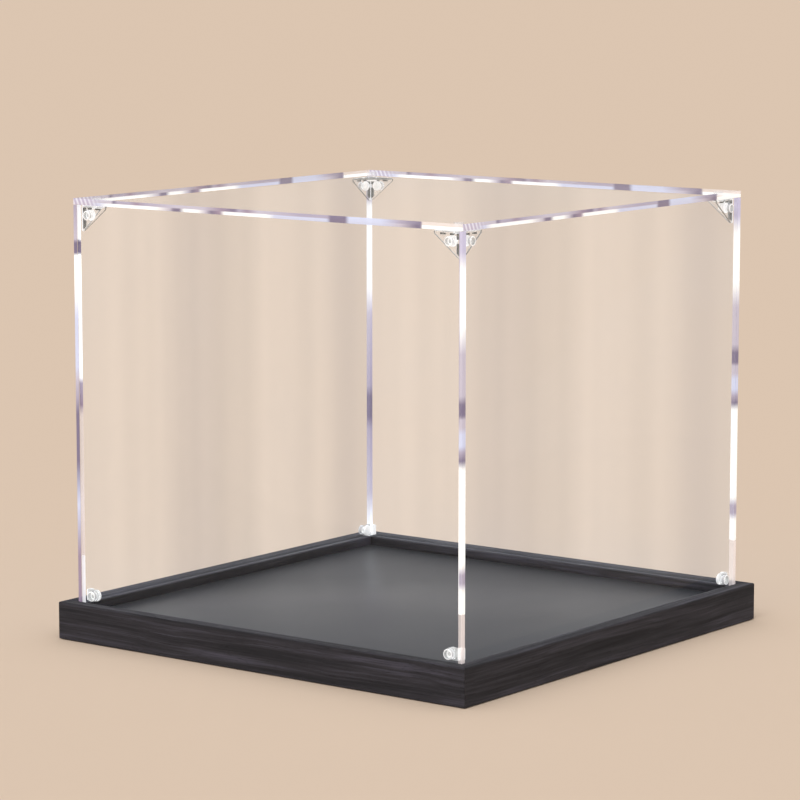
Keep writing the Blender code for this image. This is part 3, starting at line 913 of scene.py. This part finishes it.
def connector_part(middle, normal):
    """Which part of a connector a face is, in the connector's own axes."""
    x, y, depth = middle.x, middle.y, -middle.z
    wall_end = WALL_SHEET + GAP + WEB
    top_end = TOP_SHEET + GAP + WEB
    places = (
        (x, depth, y, wall_end, normal.y),
        (y, depth, x, wall_end, normal.x),
        (x, y, depth, top_end, normal.z),
    )
    if any(on_web_face(through, facing, end) for _, _, through, end, facing in places):
        return CLEAR
    for along, down, through, end, facing in places:
        found = pin_part(PIN_RADIUS, math.hypot(along - TOP_PIN, down - TOP_PIN), through, end)
        if found is not None:
            return CLEAR if end == top_end and through < end else found
    for along, down, through, end, facing in places:
        if not end - WEB - NEAR < through < end + NEAR or abs(facing) > 0.9:
            continue
        beside = along < WALL_SHEET + GAP + WEB or down < WALL_SHEET + GAP + WEB
        # Web edge faces: painted highlight beside the sheets and on slanting faces, painted shade on the rest
        return PAINTED_HIGHLIGHT if beside or abs(facing) > 0.3 else PAINTED_SHADE
    return CLEAR


def web_places(start, top_start):
    """Where the three flat webs of a connector lie."""
    quarter = math.pi / 2
    return (
        ((0, start + WEB / 2, 0), (-quarter, 0, 0)),
        ((start + WEB / 2, 0, 0), (-quarter, 0, quarter)),
        ((0, 0, -top_start - WEB / 2), (0, 0, 0)),
    )


def make_connectors(materials):
    """Three-way connectors. Local X and Y run inward from the outer corner, and Z runs up."""
    start = WALL_SHEET + GAP
    top_start = TOP_SHEET + GAP
    y_faces = (top_start, top_start, start)
    places = web_places(start, top_start)
    solids = []
    for reach, drop, y_face, (location, turn) in zip(WEB_REACH, WEB_DROP, y_faces, places):
        solids.append((plate("connector_web", web_outlines(start, y_face, reach, drop), WEB), location, turn))
    wall_pin = pin_mesh("connector_wall_pin", PIN_RADIUS, WALL_SHEET, WEB)
    top_pin = pin_mesh("connector_top_pin", PIN_RADIUS, TOP_SHEET, WEB)
    quarter = math.pi / 2
    solids += [
        (wall_pin, (TOP_PIN, 0, -TOP_PIN), (-quarter, 0, 0)),
        (wall_pin, (0, TOP_PIN, -TOP_PIN), (0, quarter, 0)),
        (top_pin, (TOP_PIN, TOP_PIN, 0), (math.pi, 0, 0)),
    ]
    mesh = rounded(union("top_connector", solids), PLASTIC_ARRIS, 1)
    for face in mesh.polygons:
        face.material_index = connector_part(face.center, face.normal)
    mesh = with_slot_shade_sheets(mesh, start, y_faces, places)
    for index, corner in enumerate(CORNERS):
        node = f"top_connector_{corner}"
        placed = mesh.copy()
        spin = Matrix.Rotation(math.radians(90 * index), 4, "Z")
        placed.transform(spin @ Matrix.Translation((-HALF_COVER, -HALF_COVER, TOTAL_HEIGHT)))
        piece(f"{node}_moulded", placed, "cover", "clear_moulded_plastic", materials, node)


def with_slot_shade_sheets(mesh, start, y_faces, places):
    """The connector with a thin dark sheet of painted shade across the middle of each slot."""
    shape = bmesh.new()
    shape.from_mesh(mesh)
    for y_face, (location, turn) in zip(y_faces, places):
        for outline in web_slots(start, y_face):
            # A dark sheet of painted shade across the slot
            skin = plate("slot_shade", [outline], SLOT_SHADE_SHEET)
            skin.transform(Matrix.Translation(location) @ Euler(turn).to_matrix().to_4x4())
            before = len(shape.faces)
            shape.from_mesh(skin)
            shape.faces.ensure_lookup_table()
            for face in shape.faces[before:]:
                face.material_index = PAINTED_SHADE
    shape.to_mesh(mesh)
    shape.free()
    return mesh


def clip_part(middle, normal):
    """Which part of a clip a face is, in the clip's own axes."""
    start = WALL_SHEET + GAP
    sides = (start, start + CLIP_FLANGE)
    if abs(normal.y) > 0.9 and min(abs(middle.y - side) for side in sides) < FACE_NEAR:
        return SOFT
    radial = math.hypot(middle.x - CLIP_PIN, middle.z)
    found = pin_part(CLIP_PIN_RADIUS, radial, middle.y, start + CLIP_FLANGE)
    if found is not None:
        return found
    if middle.x > start + CLIP_BLOCK + 2 * NEAR:
        inside = CLIP_WINDOW[0] - 2 * NEAR < middle.x < CLIP_WINDOW[1] + 2 * NEAR
        if inside and abs(normal.y) < 0.5 and abs(middle.z) < CLIP_WINDOW[3] + 2 * NEAR:
            # The sides of the clip's windows are painted shade
            return PAINTED_SHADE
        return SOFT
    return PAINTED_HIGHLIGHT


def make_clips(materials):
    """Bottom clips. Local X runs along the pinned wall, Y inward and Z up from the pin's height."""
    start = WALL_SHEET + GAP
    half = CLIP_HALF
    flange_start = start + CLIP_BLOCK / 2
    flange_outline = [(flange_start, -half), *arc((CLIP_PIN, 0), half, -90, 90, 28)]
    flange_outline += [(flange_start, half)]
    upper_window = rectangle(*CLIP_WINDOW)
    lower_window = [(x, -y) for x, y in upper_window]
    flange = plate("clip_flange", [flange_outline, upper_window, lower_window], CLIP_FLANGE)
    block_start = start + CLIP_FLANGE / 2
    x_end = start + CLIP_BLOCK
    y_end = start + CLIP_BLOCK_DEPTH
    block_outline = [(start, block_start), (x_end, block_start), (x_end, y_end - CLIP_CHAMFER)]
    block_outline += [(x_end - CLIP_CHAMFER, y_end), (start, y_end)]
    block = plate("clip_block", [block_outline], 2 * CLIP_BLOCK_HALF)
    pin = pin_mesh("clip_pin", CLIP_PIN_RADIUS, WALL_SHEET, CLIP_FLANGE)
    quarter = math.pi / 2
    mesh = rounded(union("bottom_clip", [
        (flange, (0, start + CLIP_FLANGE / 2, 0), (-quarter, 0, 0)),
        (block, (0, 0, 0), (0, 0, 0)),
        (pin, (CLIP_PIN, 0, 0), (-quarter, 0, 0)),
    ]), PLASTIC_ARRIS, 1)
    for face in mesh.polygons:
        face.material_index = clip_part(face.center, face.normal)
    turns = (
        ("front_left", -1, -1, 0, 0),
        ("front_right", 1, -1, math.pi, 0),
        ("back_right", 1, 1, math.pi, quarter),
        ("back_left", -1, 1, 0, -quarter),
    )
    for corner, x_side, y_side, flip, angle in turns:
        node = f"bottom_clip_{corner}"
        placed = mesh.copy()
        shift = Matrix.Translation((x_side * HALF_COVER, y_side * HALF_COVER, CLIP_Z))
        placed.transform(shift @ Euler((0, flip, angle)).to_matrix().to_4x4())
        piece(f"{node}_moulded", placed, "cover", "clear_moulded_plastic", materials, node)


def make_corner_pieces():
    # Painted highlight, painted shade and soft grey for the clear pieces; the highlight and soft grey also
    # glow a little as painted light
    bright = moulded("plastic_painted_highlight", "e8ecee", "ffffff", 0.86, 0.08, 0.4)
    dark = moulded("plastic_painted_shade", "858887", "9fa2a0", 0.84, 0.15)
    soft = moulded("plastic_soft", "b4b8b8", "dadddd", 0.68, 0.12, 0.12)
    materials = [clear_web(), bright, dark, soft]
    make_connectors(materials)
    make_clips(materials)


# Stage


def make_stage():
    """A plain pale floor, soft light from the whole sky and one broad lamp."""
    shape = bmesh.new()
    bmesh.ops.create_circle(shape, cap_ends=True, segments=96, radius=STAGE_RADIUS)
    mesh = bpy.data.meshes.new("stage_floor")
    shape.to_mesh(mesh)
    shape.free()
    tree = Tree("stage_floor")
    shader = tree.add("ShaderNodeBsdfPrincipled", {"Base Color": srgb("ddc8b3"), "Roughness": 0.9})
    shader.inputs["Specular IOR Level"].default_value = 0.0
    mesh.materials.append(tree.finish(shader.outputs[0]))
    floor = bpy.data.objects.new("stage_floor", mesh)
    floor.location.z = -STAGE_DROP
    bpy.context.scene.collection.objects.link(floor)

    world = bpy.data.worlds.new("studio")
    world.use_nodes = True
    nodes, links = world.node_tree.nodes, world.node_tree.links
    sky = nodes["Background"]
    place = nodes.new("ShaderNodeTexCoord")
    split = nodes.new("ShaderNodeSeparateXYZ")
    ramp = nodes.new("ShaderNodeValToRGB")
    links.new(place.outputs["Generated"], split.inputs[0])
    links.new(split.outputs["Z"], ramp.inputs[0])
    links.new(ramp.outputs[0], sky.inputs["Color"])
    ramp.color_ramp.elements[0].color = srgb("e4dcd6")
    ramp.color_ramp.elements[0].position = 0.3
    ramp.color_ramp.elements[1].color = srgb("f6f6f8")
    ramp.color_ramp.elements[1].position = 0.75
    sky.inputs["Strength"].default_value = SKY_STRENGTH
    bpy.context.scene.world = world

    sun = bpy.data.lights.new("broad_lamp", "SUN")
    sun.energy = LAMP_STRENGTH
    sun.angle = math.radians(LAMP_ANGLE)
    lamp = bpy.data.objects.new("broad_lamp", sun)
    lamp.rotation_euler = [math.radians(angle) for angle in LAMP_TURN]
    bpy.context.scene.collection.objects.link(lamp)


def make_camera():
    camera = bpy.data.cameras.new("camera")
    camera.sensor_width = 36.0
    camera.lens = CAMERA_LENS
    thing = bpy.data.objects.new("camera", camera)
    thing.location = CAMERA_PLACE
    thing.rotation_euler = [math.radians(angle) for angle in CAMERA_TURN]
    bpy.context.scene.collection.objects.link(thing)
    bpy.context.scene.camera = thing
    scene = bpy.context.scene
    scene.view_settings.view_transform = "Standard"
    scene.cycles.transparent_max_bounces = 48


make_rails()
make_floor()
make_glue_blocks()
make_foot_pads()
make_sheets()
make_corner_pieces()
make_stage()
make_camera()
